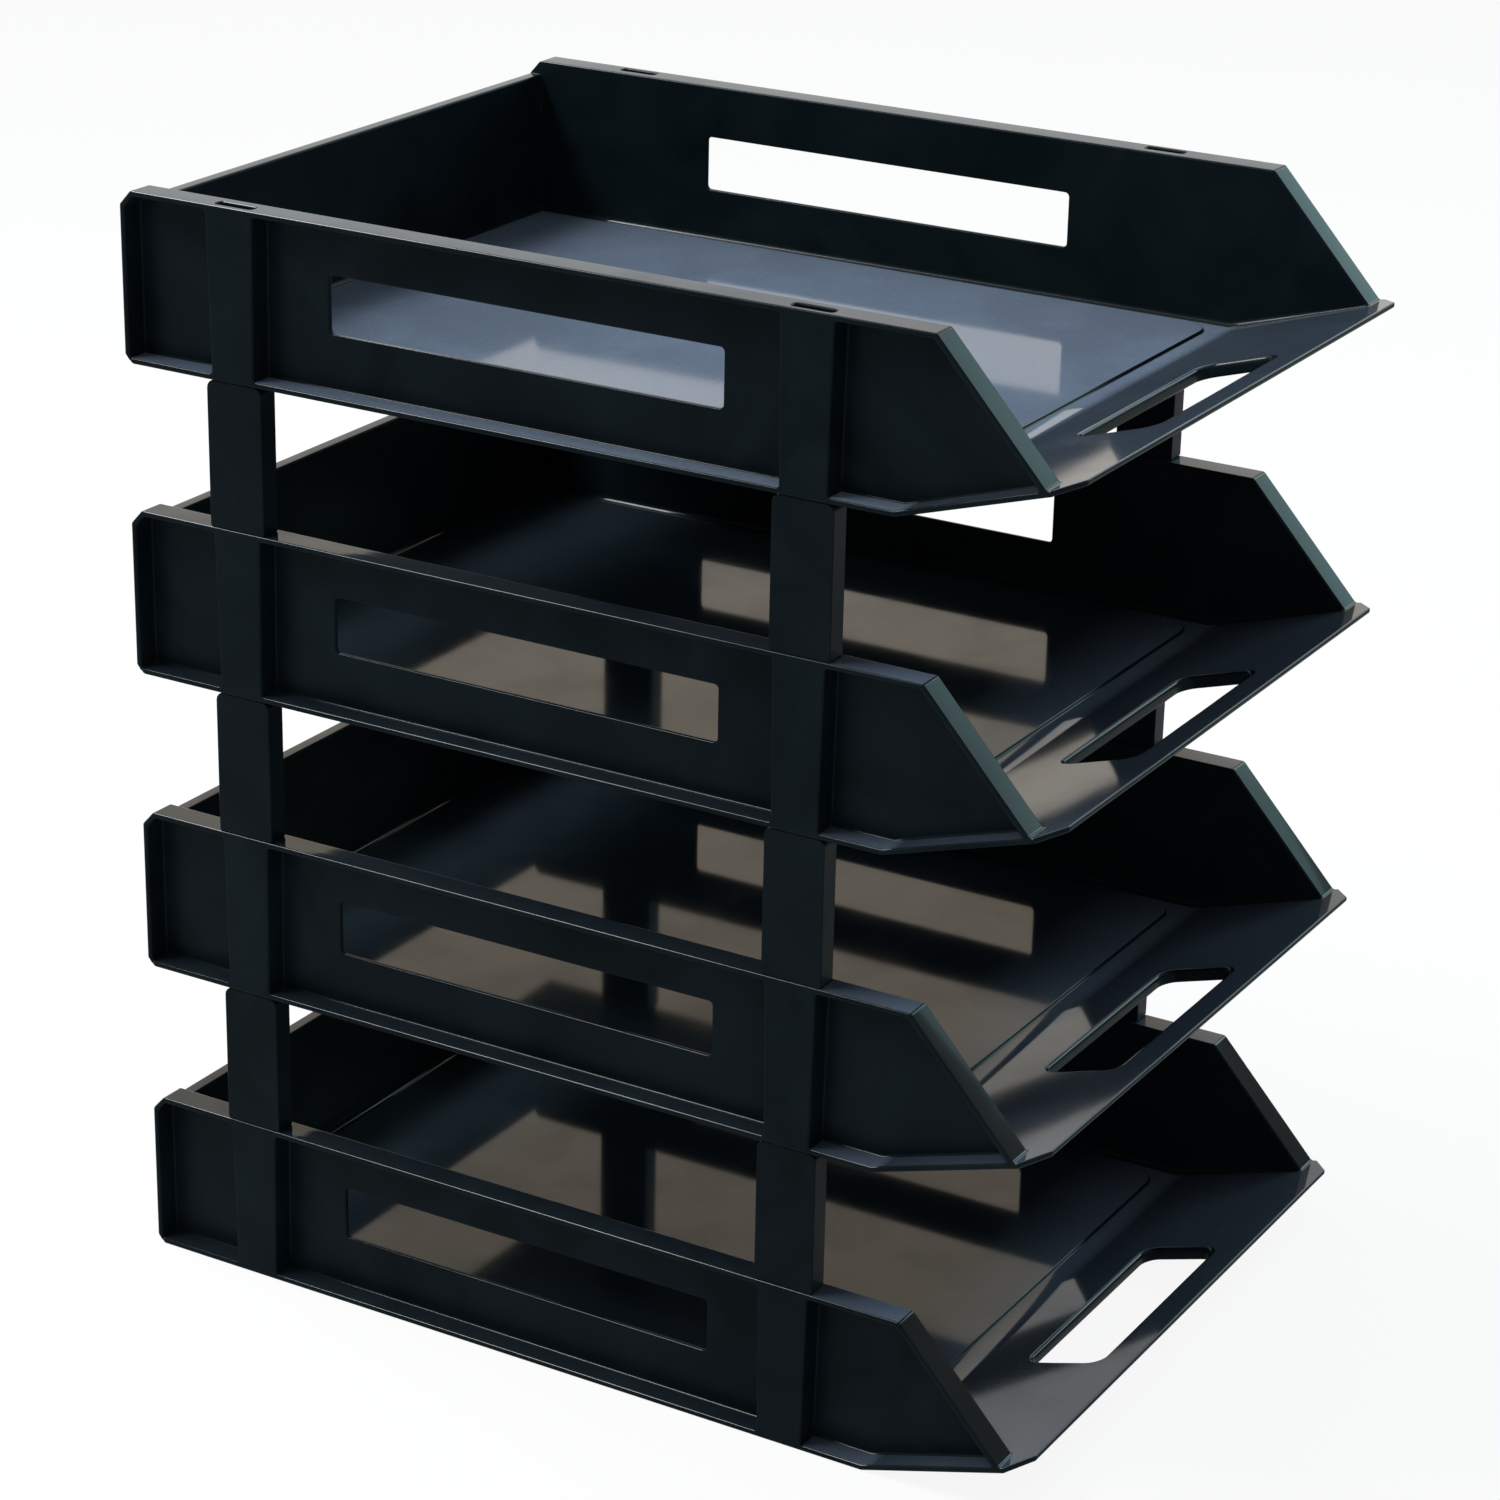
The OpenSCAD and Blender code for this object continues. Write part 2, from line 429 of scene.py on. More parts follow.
@dataclass(frozen=True)
class StudioSurface:
    """Plain pale surface of the studio, which the camera sees as white.

    Attributes:
        name: The material's name.
        colour: Colour that the lamps light.
        glow: Share of plain white that the camera and the reflections see in place of the lit colour.
    """

    name: str
    colour: Colour
    glow: float

    def material(self) -> bpy.types.Material:
        """Builds the material.

        Returns:
            The new material.
        """
        material = bpy.data.materials.new(self.name)
        material.use_nodes = True
        graph = Graph(material.node_tree)
        seen = background_rays(graph)
        lit = graph.add("ShaderNodeBsdfDiffuse", {}, {"Color": (*self.colour, 1.0)})
        white = graph.add("ShaderNodeEmission", {}, {"Color": (*WHITE, 1.0), "Strength": 1.0})
        shader = graph.add("ShaderNodeMixShader", {}, {0: seen * self.glow, 1: lit, 2: white})
        graph.add("ShaderNodeOutputMaterial", {}, {"Surface": shader})
        return material


# ---- Solids ----


class Corner(Enum):
    """How a solid meets the tool that shapes it."""

    JOIN = "UNION"
    CUT = "DIFFERENCE"
    KEEP = "INTERSECT"


@dataclass(frozen=True)
class Rounding:
    """Edges within a box that get a radius of their own.

    Attributes:
        radius: Their radius.
        inner: Whether they are inner corners, or else outer edges of a face that looks up.
        low: The box's lowest corner.
        high: The box's highest corner.
    """

    radius: float
    inner: bool
    low: Vector
    high: Vector

    def holds(self, edge: bmesh.types.BMEdge) -> bool:
        """Tells whether an edge is of the right kind and within the box.

        Args:
            edge: The edge.

        Returns:
            Whether it is.
        """
        if edge.is_convex == self.inner or max(face.normal.z for face in edge.link_faces) < LOOKS_UP:
            return False
        return all(self.low[i] < end.co[i] < self.high[i] for end in edge.verts for i in range(3))


class Solid:
    """A closed mesh that is joined to and cut by others, and then gets its edges rounded."""

    def __init__(self, outline: Outline, place: Place, start: float, end: float) -> None:
        """Extrudes a flat outline.

        Args:
            outline: The outline's points.
            place: Turns an outline's point and a depth into a place in the frame.
            start: Depth of the first face.
            end: Depth of the last face.
        """
        shape = bmesh.new()
        rings = [[shape.verts.new(place(a, b, depth)) for a, b in outline] for depth in (start, end)]
        shape.faces.new(rings[0])
        shape.faces.new(rings[1])
        count = len(outline)
        for i in range(count):
            j = (i + 1) % count
            shape.faces.new((rings[0][i], rings[0][j], rings[1][j], rings[1][i]))
        bmesh.ops.recalc_face_normals(shape, faces=shape.faces)
        mesh = bpy.data.meshes.new("solid")
        shape.to_mesh(mesh)
        shape.free()
        self.piece = bpy.data.objects.new("solid", mesh)
        bpy.context.scene.collection.objects.link(self.piece)

    @classmethod
    def upright(cls, outline: Outline, start: float, end: float) -> "Solid":
        """Makes a solid from an outline of places along Y and Z, which runs from start to end along X."""
        return cls(outline, lambda y, z, x: Vector((x, y, z)), start, end)

    @classmethod
    def level(cls, outline: Outline, start: float, end: float) -> "Solid":
        """Makes a solid from an outline of places along X and Y, which runs from start to end along Z."""
        return cls(outline, lambda x, y, z: Vector((x, y, z)), start, end)

    def shape(self, tool: "Solid", corner: Corner) -> "Solid":
        """Joins a tool to the solid, or cuts the solid with it. The tool is used up.

        Args:
            tool: The other solid.
            corner: What the tool does.

        Returns:
            This solid.
        """
        modifier = self.piece.modifiers.new("shape", "BOOLEAN")
        modifier.operation = corner.value
        modifier.object = tool.piece
        modifier.solver = "MANIFOLD"
        self._apply()
        bpy.data.objects.remove(tool.piece)
        return self

    def _apply(self) -> None:
        """Makes the modifiers part of the mesh."""
        graph = bpy.context.evaluated_depsgraph_get()
        mesh = bpy.data.meshes.new_from_object(self.piece.evaluated_get(graph))
        self.piece.modifiers.clear()
        self.piece.data = mesh

    @staticmethod
    def _room(edge: bmesh.types.BMEdge) -> float:
        """Measures how much room an edge has for its rounding.

        Args:
            edge: The edge.

        Returns:
            The smallest breadth of its two faces, measured square to the edge at a few points along it.
            A face's next edges don't count where they leave the edge steeply.
        """
        start, end = (corner.co for corner in edge.verts)
        along = (end - start).normalized()
        room = math.inf
        for loop in edge.link_loops:
            inward = loop.face.normal.cross(loop.link_loop_next.vert.co - loop.vert.co).normalized()
            for share in ROOM_PLACES:
                origin = start.lerp(end, share)
                for other in loop.face.edges:
                    first, second = (corner.co - origin for corner in other.verts)
                    here, there = first.dot(along), second.dot(along)
                    steep = abs(here - there) < STEEP * (first - second).length
                    joined = not set(other.verts).isdisjoint(edge.verts)
                    if here * there >= 0.0 or other is edge or (joined and steep):
                        continue
                    breadth = first.lerp(second, here / (here - there)).dot(inward)
                    if breadth > TOUCH:
                        room = min(room, breadth)
        return room

    def round_edges(
        self,
        radius: float,
        seams: Sequence[Tuple[int, float]],
        roundings: Sequence[Rounding] = (),
    ) -> "Solid":
        """Clears up the flat faces and rounds every sharp edge, inner corners included.

        Args:
            radius: Radius of the edges. An edge beside a narrow face gets less.
            seams: Planes through the openings that divide the flat faces, each an axis and a place on it.
            roundings: Edges that are rounder than the rest.

        Returns:
            This solid.
        """
        shape = bmesh.new()
        shape.from_mesh(self.piece.data)
        bmesh.ops.remove_doubles(shape, verts=shape.verts, dist=TOUCH)
        for axis, place in seams:
            way = Vector((float(axis == 0), float(axis == 1), float(axis == 2)))
            parts = shape.verts[:] + shape.edges[:] + shape.faces[:]
            bmesh.ops.bisect_plane(shape, geom=parts, dist=CUT_TOUCH, plane_co=way * place, plane_no=way)
        needless = [edge for edge in shape.edges if self._is_flat(edge) and not self._on_seam(edge, seams)]
        bmesh.ops.dissolve_edges(shape, edges=needless, use_verts=True)
        widest = max([radius] + [rounding.radius for rounding in roundings])
        share = shape.edges.layers.float.new("bevel_weight_edge")
        for edge in shape.edges:
            if edge.calc_face_angle(0.0) > SHARP:
                wanted = max([radius] + [rounding.radius for rounding in roundings if rounding.holds(edge)])
                edge[share] = min(wanted, ROOM_SHARE * self._room(edge)) / widest
        shape.to_mesh(self.piece.data)
        shape.free()
        bevel = self.piece.modifiers.new("round", "BEVEL")
        bevel.width = widest
        bevel.segments = EDGE_STEPS
        bevel.limit_method = "WEIGHT"
        bevel.use_clamp_overlap = False
        bevel.loop_slide = False
        bevel.miter_outer = "MITER_ARC"
        self._apply()
        self.piece.data.shade_smooth()
        normals = self.piece.modifiers.new("normals", "WEIGHTED_NORMAL")
        normals.mode = "FACE_AREA"
        normals.weight = NORMAL_WEIGHT
        self._apply()
        return self

    def finished(self, name: str, place: Vector, finish: bpy.types.Material) -> bpy.types.Object:
        """Names the solid, moves it to its place and gives it its finish.

        Args:
            name: Its name.
            place: How far it moves.
            finish: Its material.

        Returns:
            The finished piece.
        """
        self.piece.name = name
        self.piece.data.name = self.piece.name
        self.piece.data.transform(Matrix.Translation(place))
        self.piece.data.materials.clear()
        self.piece.data.materials.append(finish)
        return self.piece

    @staticmethod
    def _is_flat(edge: bmesh.types.BMEdge) -> bool:
        """Whether an edge lies within a flat face."""
        return edge.is_manifold and edge.calc_face_angle(math.pi) < FLAT

    @staticmethod
    def _on_seam(edge: bmesh.types.BMEdge, seams: Sequence[Tuple[int, float]]) -> bool:
        """Whether an edge lies on one of the seams."""
        return any(all(abs(end.co[axis] - place) < TOUCH for end in edge.verts) for axis, place in seams)


def round_rectangle(
    low: Tuple[float, float],
    high: Tuple[float, float],
    radii: Sequence[float],
    least: int = CORNER_STEPS,
) -> Outline:
    """Outline of a rectangle with round corners, counter-clockwise.

    Args:
        low: The lowest corner.
        high: The highest corner.
        radii: Radius of the corners, from the highest one round by the upper left.
        least: Smallest number of steps in a corner.

    Returns:
        The outline's points.
    """
    signs = ((1, 1), (-1, 1), (-1, -1), (1, -1))
    points: Outline = []
    for quarter, ((sx, sy), radius) in enumerate(zip(signs, radii)):
        centre_x = (high[0] if sx > 0 else low[0]) - sx * radius
        centre_y = (high[1] if sy > 0 else low[1]) - sy * radius
        steps = max(least, round(radius / ARC_STEP))
        for step in range(steps + 1):
            angle = math.radians(90.0) * (quarter + step / steps)
            points.append((centre_x + radius * math.cos(angle), centre_y + radius * math.sin(angle)))
    return points


def inset(outline: Outline, depth: float) -> Outline:
    """Moves a counter-clockwise outline inwards.

    Args:
        outline: The outline's points.
        depth: How far each edge moves.

    Returns:
        The inner outline.
    """
    inner: Outline = []
    for i, corner in enumerate(outline):
        here = Vector(corner)
        came = (here - Vector(outline[i - 1])).normalized()
        goes = (Vector(outline[(i + 1) % len(outline)]) - here).normalized()
        first, second = Vector((-came.y, came.x)), Vector((-goes.y, goes.x))
        moved = here + depth * (first + second) / (1.0 + first.dot(second))
        inner.append((moved.x, moved.y))
    return inner


# ---- Tray ----


@dataclass
class Tray:
    """One tray moulding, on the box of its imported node.

    Attributes:
        node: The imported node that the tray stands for.
        finish: The tray's material.
        skin: Thickness of the floor, the panels and the flanges.
        flange: How far the side flanges stand out from the side panels.
        rear_rim: How far the rear rim stands out from the rear panel.
        rear_drop: How much lower the rear wall is than the side walls.
        ramp: Depth of the rising front part of the floor.
        lip_height: Height of the lip's underside.
        slope_top: Distance from the lip to the top of the sloped wall edge.
        slope_foot: Distance from the lip to the foot of the sloped wall edge.
        lip_corner: Width and depth of the lip's cut corners, seen from above.
        top_bevel: Length and height of the bevel on the upper rear corner.
        low_bevel: Bevel on the lower rear corner.
        hand_slot: Width and depth of the hand slot.
        hand_setback: Distance from the lip to the hand slot.
        hand_radius: Corner radius of the hand slot.
        hand_collar: How far the collar round the hand slot hangs below the ramp.
        hand_roll: Radius of the hand slot's rolled edge.
        window_margin: Distance from a column to the window.
        window_sill: Height of the window's sill.
        window_height: Height of the window.
        window_radius: Corner radius of the window.
        panel_margin: Margin between the raised floor panel and the walls.
        panel_rise: Height of the raised floor panel.
        panel_radius: Corner radius of the raised floor panel.
        column_width: Width of a socket column at the top.
        column_taper: How much narrower a column is at the bottom.
        column_front: Distance from the lip to the middle of the front columns.
        column_rear: Distance from the rear edge to the middle of the rear columns.
        socket: Size of a socket along X and along Y.
        socket_inset: Distance from the flange's outer edge to the middle of a socket.
        edge: Radius of the moulding's edges.
        fillet: Radius of the corner between the floor and the walls.
        over: How far a cutting solid reaches past what it cuts.
    """

    node: str
    finish: bpy.types.Material
    skin: float = 2.0 * MM
    flange: float = 8.5 * MM
    rear_rim: float = 3.0 * MM
    rear_drop: float = 5.0 * MM
    ramp: float = 59.0 * MM
    lip_height: float = 18.0 * MM
    slope_top: float = 47.0 * MM
    slope_foot: float = 9.0 * MM
    lip_corner: Tuple[float, float] = (9.5 * MM, 7.0 * MM)
    top_bevel: Tuple[float, float] = (4.5 * MM, 5.0 * MM)
    low_bevel: float = 3.5 * MM
    hand_slot: Tuple[float, float] = (94.0 * MM, 26.0 * MM)
    hand_setback: float = 12.0 * MM
    hand_radius: float = 5.0 * MM
    hand_collar: float = 2.75 * MM
    hand_roll: float = 1.9 * MM
    window_margin: float = 24.0 * MM
    window_sill: float = 20.5 * MM
    window_height: float = 19.5 * MM
    window_radius: float = 1.5 * MM
    panel_margin: float = 5.0 * MM
    panel_rise: float = 1.0 * MM
    panel_radius: float = 9.0 * MM
    column_width: float = 19.0 * MM
    column_taper: float = 2.0 * MM
    column_front: float = 90.5 * MM
    column_rear: float = 44.5 * MM
    socket: Tuple[float, float] = (3.6 * MM, 14.4 * MM)
    socket_inset: float = 4.5 * MM
    edge: float = 0.8 * MM
    fillet: float = 2.1 * MM
    over: float = 1.0 * MM

    def __post_init__(self) -> None:
        """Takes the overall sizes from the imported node."""
        self.low, self.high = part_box(self.node)
        self.half = (self.high.x - self.low.x) / 2.0
        self.depth = self.high.y - self.low.y
        self.height = self.high.z - self.low.z
        self.panel_out = self.half - self.flange
        self.panel_in = self.panel_out - self.skin
        self.ramp_skin = self.skin / math.cos(math.atan(self.lip_height / self.ramp))
        self.crease = self.ramp * (1.0 + (self.ramp_skin - self.skin) / self.lip_height)
        self.columns = (self.column_front, self.depth - self.column_rear)
        self.sunk = self.skin / 2.0

    def ramp_top(self, distance: float) -> float:
        """Height of the ramp's top face at a distance from the lip."""
        return self.lip_height * (1.0 - distance / self.ramp) + self.ramp_skin

    def build(self) -> bpy.types.Object:
        """Models the tray, gives it its finish and puts it in its place.

        Returns:
            The finished tray.
        """
        tray = self._floor()
        tray.shape(self._collar(), Corner.JOIN)
        for side in (-1, 1):
            tray.shape(self._panel(side), Corner.JOIN)
            tray.shape(self._flange(side), Corner.JOIN)
            for distance in self.columns:
                tray.shape(self._column(side, distance), Corner.JOIN)
        tray.shape(self._rear_wall(), Corner.JOIN)
        tray.shape(Solid.level(self._plan(), -self.over, self.height + self.over), Corner.KEEP)
        reach = self.half + self.over
        tray.shape(Solid.upright(self._silhouette(), -reach, reach), Corner.KEEP)
        tray.shape(Solid.level(self._hand(0.0), -self.over, self.height), Corner.CUT)
        for side in (-1, 1):
            for distance in self.columns:
                tray.shape(self._socket(side, distance), Corner.CUT)
        tray.round_edges(self.edge, self._seams(), [self._fillet(), self._bead()])
        return tray.finished(f"{self.node}_moulding", Vector((0.0, self.low.y, self.low.z)), self.finish)

    def _fillet(self) -> Rounding:
        """Corner between the floor and the walls, behind the sloped wall edges.

        Returns:
            What is rounded.
        """
        back = self.depth - self.rear_rim - self.skin
        low = Vector((-self.panel_in - self.edge, self.slope_top, 0.0))
        high = Vector((self.panel_in + self.edge, back + self.edge, self.window_sill / 2.0))
        return Rounding(self.fillet, True, low, high)

    def _bead(self) -> Rounding:
        """Rolled edge of the hand slot.

        Returns:
            What is rounded.
        """
        reach, back = self.hand_slot[0] / 2.0 + self.edge, self.hand_setback + self.hand_slot[1] + self.edge
        low = Vector((-reach, self.hand_setback - self.edge, 0.0))
        return Rounding(self.hand_roll, False, low, Vector((reach, back, self.height)))

    def _seams(self) -> List[Tuple[int, float]]:
        """Planes that run through the hand slot, the windows, the sockets and the recesses of the sides.

        Returns:
            Pairs of an axis and a place on it.
        """
        front, rear = self.columns
        places = (front / 2.0 + self.slope_foot, front, (front + rear) / 2.0, rear, (rear + self.depth) / 2.0)
        return [(0, 0.0)] + [(1, place) for place in places]

    def _floor(self) -> Solid:
        """Floor, ramp and lip, with the raised floor panel.

        Returns:
            The solid.
        """
        section = [
            (0.0, self.lip_height),
            (self.ramp, 0.0),
            (self.depth, 0.0),
            (self.depth, self.skin),
            (self.crease, self.skin),
            (0.0, self.ramp_top(0.0)),
        ]
        side = self.panel_in - self.panel_margin
        front = self.crease + self.panel_margin
        back = self.depth - self.rear_rim - self.skin - self.panel_margin
        plan = round_rectangle((-side, front), (side, back), [self.panel_radius] * 4)
        floor = Solid.upright(section, -self.half, self.half)
        return floor.shape(Solid.level(plan, self.sunk, self.skin + self.panel_rise), Corner.JOIN)

    def _hand(self, margin: float) -> Outline:
        """Outline of the hand slot, seen from above.

        Args:
            margin: How much larger it is on each side.

        Returns:
            The outline's points.
        """
        width, depth = self.hand_slot
        low = (-width / 2.0 - margin, self.hand_setback - margin)
        high = (width / 2.0 + margin, self.hand_setback + depth + margin)
        return round_rectangle(low, high, [self.hand_radius + margin] * 4, HAND_STEPS)

    def _collar(self) -> Solid:
        """Collar that hangs from the ramp all round the hand slot.

        Returns:
            The solid.
        """
        start = self.hand_setback - 2.0 * self.skin
        end = self.hand_setback + self.hand_slot[1] + 2.0 * self.skin
        middle, foot = self.ramp_skin / 2.0, self.ramp_skin + self.hand_collar
        section = [
            (start, self.ramp_top(start) - foot),
            (end, self.ramp_top(end) - foot),
            (end, self.ramp_top(end) - middle),
            (start, self.ramp_top(start) - middle),
        ]
        collar = Solid.upright(section, -self.half, self.half)
        return collar.shape(Solid.level(self._hand(self.skin), -self.over, self.height), Corner.KEEP)

    def _side_outline(self, foot: float) -> Outline:
        """Outline of a side wall.

        Args:
            foot: How far its lower edge lies above the tray's underside.

        Returns:
            Points as distances from the lip and heights.
        """
        rise = (self.height - self.ramp_top(self.slope_foot)) / (self.slope_top - self.slope_foot)
        fall = self.lip_height / self.ramp
        tip = (rise * self.slope_top + self.lip_height + foot - self.height) / (rise + fall)
        length, height = self.top_bevel
        return [
            (tip, self.lip_height + foot - fall * tip),
            (self.ramp, foot),
            (self.depth, foot),
            (self.depth, self.height - height),
            (self.depth - length, self.height),
            (self.slope_top, self.height),
        ]

    def _panel(self, side: int) -> Solid:
        """Side panel with its window.

        Args:
            side: -1 on the left and 1 on the right.

        Returns:
            The solid.
        """
        start, end = sorted((side * self.panel_in, side * self.panel_out))
        reach = self.column_width / 2.0 + self.window_margin
        low = (self.columns[0] + reach, self.window_sill)
        high = (self.columns[1] - reach, self.window_sill + self.window_height)
        window = round_rectangle(low, high, [self.window_radius] * 4)
        panel = Solid.upright(self._side_outline(self.sunk), start, end)
        return panel.shape(Solid.upright(window, start - self.over, end + self.over), Corner.CUT)

    def _flange(self, side: int) -> Solid:
        """Flanges that frame a side panel and stand outwards from it.

        Args:
            side: -1 on the left and 1 on the right.

        Returns:
            The solid.
        """
        start, end = sorted((side * (self.panel_out - self.sunk), side * self.half))
        outer = self._side_outline(self.sunk)
        opening = inset(self._side_outline(-self.sunk), self.skin)
        flange = Solid.upright(outer, start, end)
        return flange.shape(Solid.upright(opening, start - self.over, end + self.over), Corner.CUT)

    def _column(self, side: int, distance: float) -> Solid:
        """Socket column.

        Args:
            side: -1 on the left and 1 on the right.
            distance: Distance from the lip to the column's middle.

        Returns:
            The solid.
        """
        top = self.column_width / 2.0
        foot = top - self.column_taper / 2.0
        start, end = sorted((side * (self.panel_out - self.sunk), side * self.half))
        section = [
            (distance - foot, self.sunk),
            (distance + foot, self.sunk),
            (distance + top, self.height),
            (distance - top, self.height),
        ]
        return Solid.upright(section, start, end)

    def _rear_wall(self) -> Solid:
        """Rear panel, and the rim that stands out along its top.

        Returns:
            The solid.
        """
        outer = self.depth - self.rear_rim
        inner = outer - self.skin
        top = self.height - self.rear_drop
        section = [
            (inner, self.sunk),
            (outer, self.sunk),
            (outer, top - self.skin),
            (self.depth, top - self.skin),
            (self.depth, top),
            (inner, top),
        ]
        reach = self.panel_in + self.sunk
        return Solid.upright(section, -reach, reach)

    def _plan(self) -> Outline:
        """The tray seen from above, with the lip's cut corners.

        Returns:
            Points across the tray and as distances from the lip.
        """
        width, depth = self.lip_corner
        return [
            (-self.half, self.depth),
            (-self.half, depth),
            (width - self.half, 0.0),
            (self.half - width, 0.0),
            (self.half, depth),
            (self.half, self.depth),
        ]

    def _silhouette(self) -> Outline:
        """The tray seen from the side, with its lower rear bevel.

        Returns:
            Points as distances from the lip and heights.
        """
        return [
            (-self.over, -self.over),
            (self.depth - self.low_bevel - self.over, -self.over),
            (self.depth + self.over, self.low_bevel + self.over),
            (self.depth + self.over, self.height + self.over),
            (-self.over, self.height + self.over),
        ]

    def _socket(self, side: int, distance: float) -> Solid:
        """Opening through a column for the risers' tongues.

        Args:
            side: -1 on the left and 1 on the right.
            distance: Distance from the lip to the column's middle.

        Returns:
            The solid that is cut away.
        """
        middle = side * (self.half - self.socket_inset)
        width, length = self.socket
        low = (middle - width / 2.0, distance - length / 2.0)
        high = (middle + width / 2.0, distance + length / 2.0)
        outline = [low, (high[0], low[1]), high, (low[0], high[1])]
        return Solid.level(outline, -self.over, self.height + self.over)


# ---- Riser ----


@dataclass
class Riser:
    """One riser post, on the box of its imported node.

    Attributes:
        node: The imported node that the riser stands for.
        finish: The riser's material.
        tongue: Thickness, width and length of a tongue.
        tongue_root: How deep a tongue's root is sunk into the post.
        tongue_bevel: Bevel on a tongue's tip.
        shoulder_radius: Radius of the upper corners.
        edge: Radius of the riser's edges.
    """

    node: str
    finish: bpy.types.Material
    tongue: Tuple[float, float, float] = (3.2 * MM, 14.0 * MM, 12.0 * MM)
    tongue_root: float = 1.0 * MM
    tongue_bevel: float = 1.0 * MM
    shoulder_radius: float = 3.0 * MM
    edge: float = 0.8 * MM

    def __post_init__(self) -> None:
        """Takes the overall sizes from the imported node."""
        self.low, self.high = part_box(self.node)
        self.middle = (self.low + self.high) / 2.0
        self.thick = self.high.x - self.low.x
        self.half = (self.high.y - self.low.y) / 2.0
        self.foot = self.low.z + self.tongue[2]
        self.top = self.high.z - self.tongue[2]

    def build(self) -> bpy.types.Object:
        """Models the riser, gives it its finish and puts it in its place.

        Returns:
            The finished riser.
        """
        round_top = [self.shoulder_radius] * 2
        square_foot = [self.edge] * 2
        low, high = (-self.half, self.foot), (self.half, self.top)
        face = round_rectangle(low, high, round_top + square_foot)
        riser = Solid.upright(face, -self.thick / 2.0, self.thick / 2.0)
        for end, tip, way in ((self.top, self.high.z, 1), (self.foot, self.low.z, -1)):
            riser.shape(self._tongue(end - way * self.tongue_root, tip, way), Corner.JOIN)
        riser.round_edges(self.edge / 2.0, [(1, 0.0)])
        return riser.finished(f"{self.node}_post", Vector((self.middle.x, self.middle.y, 0.0)), self.finish)

    def _tongue(self, start: float, tip: float, way: int) -> Solid:
        """Tongue that plugs into a tray's socket.

        Args:
            start: Height of its root.
            tip: Height of its tip.
            way: 1 for the upper tongue and -1 for the lower one.

        Returns:
            The solid.
        """
        thick, width, _ = self.tongue
        half, bevel = width / 2.0, self.tongue_bevel
        section = [
            (-half, start),
            (half, start),
            (half, tip - way * bevel),
            (half - bevel, tip),
            (bevel - half, tip),
            (-half, tip - way * bevel),
        ]
        return Solid.upright(section, -thick / 2.0, thick / 2.0)


# ---- Studio ----


@dataclass(frozen=True)
class Lamp:
    """A rectangular soft light that looks at the stack.

    Attributes:
        name: The lamp's name.
        azimuth: Direction that it stands in, in degrees from the front towards the right.
        elevation: Height above the horizon, in degrees.
        distance: Distance from the middle of the stack.
        size: Width and height of its face.
        watts: Power.
        colour: Colour of its light.
    """

    name: str
    azimuth: float
    elevation: float
    distance: float
    size: Tuple[float, float]
    watts: float
    colour: Colour


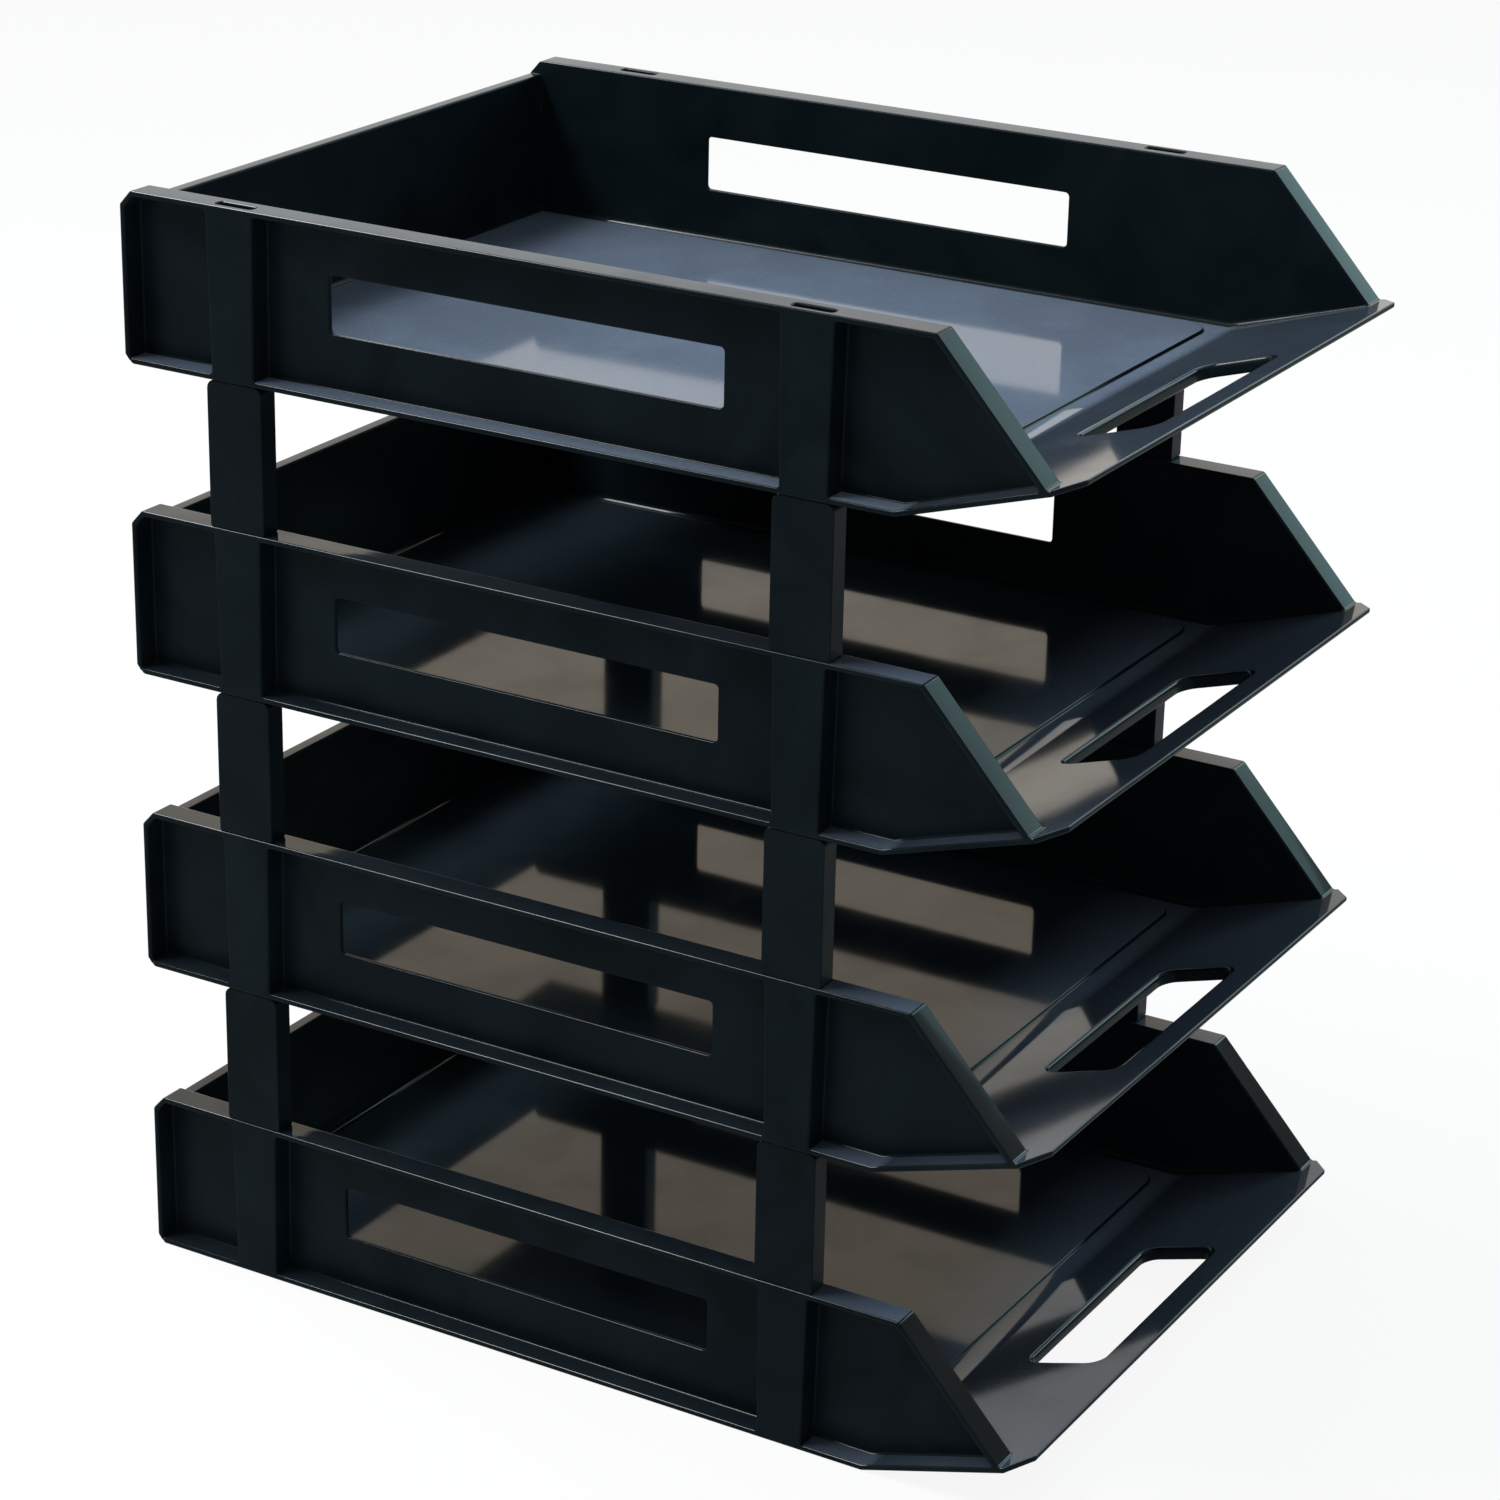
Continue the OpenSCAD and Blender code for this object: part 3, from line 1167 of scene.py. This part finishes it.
@dataclass
class Studio:
    """Floor, background, lamps and camera.

    Attributes:
        middle: Point that the lamps look at.
        aim: Point that the camera looks at.
        azimuth: Direction that the camera stands in, in degrees from the front towards the right.
        elevation: The camera's height above the horizon, in degrees.
        roll: The camera's turn about its own view, in degrees.
        distance: Distance from the camera to the aim.
        lens: Focal length in millimetres.
        floor_size: Width of the floor.
    """

    middle: Vector
    aim: Tuple[float, float, float] = (-0.0024, 0.0042, 0.1873)
    azimuth: float = -59.947
    elevation: float = 21.685
    roll: float = 1.228
    distance: float = 1.4317
    lens: float = 98.07
    floor_size: float = 12.0

    @staticmethod
    def _direction(azimuth: float, elevation: float) -> Vector:
        """Unit vector towards a direction in degrees: from the front towards the right, and upwards."""
        turn, rise = math.radians(azimuth), math.radians(elevation)
        return Vector((math.sin(turn) * math.cos(rise), -math.cos(turn) * math.cos(rise), math.sin(rise)))

    def build(self, lamps: Sequence[Lamp], floor: StudioSurface) -> None:
        """Builds the whole studio.

        Args:
            lamps: The lamps to hang.
            floor: The floor's finish.
        """
        self._floor(floor)
        self._background()
        for lamp in lamps:
            self._hang(lamp)
        self._camera()
        bpy.context.scene.view_settings.view_transform = "Standard"

    def _floor(self, finish: StudioSurface) -> None:
        """Lays the floor.

        Args:
            finish: The floor's finish.
        """
        half = self.floor_size / 2.0
        mesh = bpy.data.meshes.new("floor")
        corners = [(-half, -half, 0.0), (half, -half, 0.0), (half, half, 0.0), (-half, half, 0.0)]
        mesh.from_pydata(corners, [], [(0, 1, 2, 3)])
        mesh.materials.append(finish.material())
        floor = bpy.data.objects.new("floor", mesh)
        bpy.context.scene.collection.objects.link(floor)
        floor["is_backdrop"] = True

    def _background(self) -> None:
        """Fills the world: white to the camera, pale in mirrors, and a soft sky that lights everything."""
        world = bpy.data.worlds.new("studio")
        world.use_nodes = True
        bpy.context.scene.world = world
        graph = Graph(world.node_tree)
        height = graph.along(graph.add("ShaderNodeTexCoord", {}, {}, "Generated"), "Z")
        pale = graph.mix(graph.clamp(height, *FAINT_BAND), WARM_GREY, PALE_GREY)
        pale = graph.mix(graph.clamp(height, *BRIGHT_BAND), pale, WARM_WHITE)
        dome = graph.mix(graph.clamp(height, *DOME_BAND), LOW_LIGHT, HIGH_LIGHT)
        seen = graph.mix(background_rays(graph), dome, pale)
        seen = graph.mix(graph.add("ShaderNodeLightPath", {}, {}, "Is Camera Ray"), seen, PLAIN_WHITE)
        light = graph.add("ShaderNodeBackground", {}, {"Color": seen, "Strength": 1.0})
        graph.add("ShaderNodeOutputWorld", {}, {"Surface": light})

    def _hang(self, lamp: Lamp) -> None:
        """Hangs a lamp.

        Args:
            lamp: What to hang.
        """
        data = bpy.data.lights.new(lamp.name, "AREA")
        data.shape = "RECTANGLE"
        data.size, data.size_y = lamp.size
        data.energy = lamp.watts
        data.color = lamp.colour
        light = bpy.data.objects.new(lamp.name, data)
        way = self._direction(lamp.azimuth, lamp.elevation)
        light.location = self.middle + way * lamp.distance
        light.rotation_euler = way.to_track_quat("Z", "Y").to_euler()
        bpy.context.scene.collection.objects.link(light)

    def _camera(self) -> None:
        """Puts the camera where the photograph was taken from."""
        data = bpy.data.cameras.new("camera")
        data.lens = self.lens
        data.sensor_width = FILM
        data.clip_end = FAR
        camera = bpy.data.objects.new("camera", data)
        back = self._direction(self.azimuth, self.elevation)
        right = Vector((0.0, 0.0, 1.0)).cross(back).normalized()
        up = back.cross(right)
        turn = math.radians(self.roll)
        across = right * math.cos(turn) + up * math.sin(turn)
        rotation = Matrix((across, back.cross(across), back)).transposed()
        camera.matrix_world = Matrix.Translation(Vector(self.aim) + back * self.distance) @ rotation.to_4x4()
        bpy.context.scene.collection.objects.link(camera)
        bpy.context.scene.camera = camera


# ---- The stack ----

TOP_TRAY = "top_tray"
STREAKS = Noise(size=50.0 * MM, detail=4.0, stirred=1.5, low=0.3, high=0.7)
SMUDGES = Noise(size=35.0 * MM, detail=5.0, stirred=0.4, low=0.42, high=0.72)
SPECKS = Noise(size=1.8 * MM, detail=2.0, stirred=0.0, low=0.56, high=0.72)
GRAIN = Noise(size=1.2 * MM, detail=1.0, stirred=0.0)
TRAY_PLASTIC = MouldedPlastic(
    name="polished tray plastic",
    deep=(0.0028, 0.006, 0.0078),
    cast=(0.006, 0.011, 0.014),
    index=1.1,
    gloss_index=1.5,
    gloss=(0.62, 0.68),
    polish=0.06,
    satin=0.3,
    smear=0.1,
    # Pale blue dust and painted sheen: nearly none within the stack, as painted shade under the trays above,
    # and more at the lit fronts and on the open top tray.
    dust=DustAndSheen(colour=(0.24, 0.3, 0.41), inside=0.03, mouth=0.56, top=0.56, rims=0.1),
    waves=Noise(size=35.0 * MM, detail=1.0, stirred=0.3),
    wave_depth=0.12 * MM,
)
RISER_PLASTIC = MouldedPlastic(
    name="satin riser plastic",
    deep=(0.0022, 0.005, 0.0065),
    cast=(0.005, 0.0095, 0.012),
    index=1.11,
    gloss_index=1.45,
    gloss=(0.4, 0.4),
    polish=0.14,
    satin=0.26,
    smear=0.1,
    # Pale dust and painted sheen, even over the risers' level faces.
    dust=DustAndSheen(colour=(0.2, 0.24, 0.3), inside=0.05, mouth=0.05, top=0.05, rims=0.05),
    waves=Noise(size=20.0 * MM, detail=1.0, stirred=0.3),
    wave_depth=0.05 * MM,
)
FLOOR = StudioSurface(name="pale floor", colour=(0.82, 0.82, 0.82), glow=0.9)

# The room: what the camera sees, what mirrors show from low to high, and the sky that lights the stack.
WHITE = (1.0, 1.0, 1.0)
PLAIN_WHITE = (0.96, 0.965, 0.965)
WARM_GREY = (0.85, 0.78, 0.68)
PALE_GREY = (0.86, 0.86, 0.84)
WARM_WHITE = (1.0, 0.87, 0.7)
LOW_LIGHT = (0.22, 0.23, 0.24)
HIGH_LIGHT = (0.66, 0.7, 0.74)

# Heights of the room between which its colours change, as the height of a ray of length 1.
FAINT_BAND = (0.12, 0.2)
BRIGHT_BAND = (0.26, 0.36)
DOME_BAND = (0.1, 0.9)

LAMPS = (
    Lamp(
        name="rear softbox",
        azimuth=-160.0,
        elevation=55.0,
        distance=1.7,
        size=(1.3, 0.35),
        watts=36.0,
        colour=(0.94, 0.98, 1.0),
    ),
    Lamp(
        name="front softbox",
        azimuth=66.0,
        elevation=25.0,
        distance=1.8,
        size=(0.7, 0.7),
        watts=7.5,
        colour=(0.5, 0.93, 1.0),
    ),
)


def main() -> None:
    """Builds the stack piece by piece, and the studio round it."""
    logging.basicConfig(level=logging.INFO, format="%(name)s: %(message)s")
    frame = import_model()
    cad_box = [list(corner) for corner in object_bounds()]
    open_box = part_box(TOP_TRAY)
    plastics = {Slot.TRAY: TRAY_PLASTIC.material(*open_box), Slot.RISER: RISER_PLASTIC.material(*open_box)}
    for body, members in frame["record"]["behaviour"]["bodies"].items():
        for node in members:
            slot = Slot.TRAY if node.endswith("tray") else Slot.RISER
            maker = Tray if slot is Slot.TRAY else Riser
            piece = maker(node, plastics[slot]).build()
            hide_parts(node)
            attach(piece, body)
            LOG.info("%s: %d faces, rides on %s", piece.name, len(piece.data.polygons), body)
    low, high = (Vector(corner) for corner in cad_box)
    middle = (low + high) / 2.0
    Studio(middle).build(LAMPS, FLOOR)


if __name__ == "__main__":
    main()
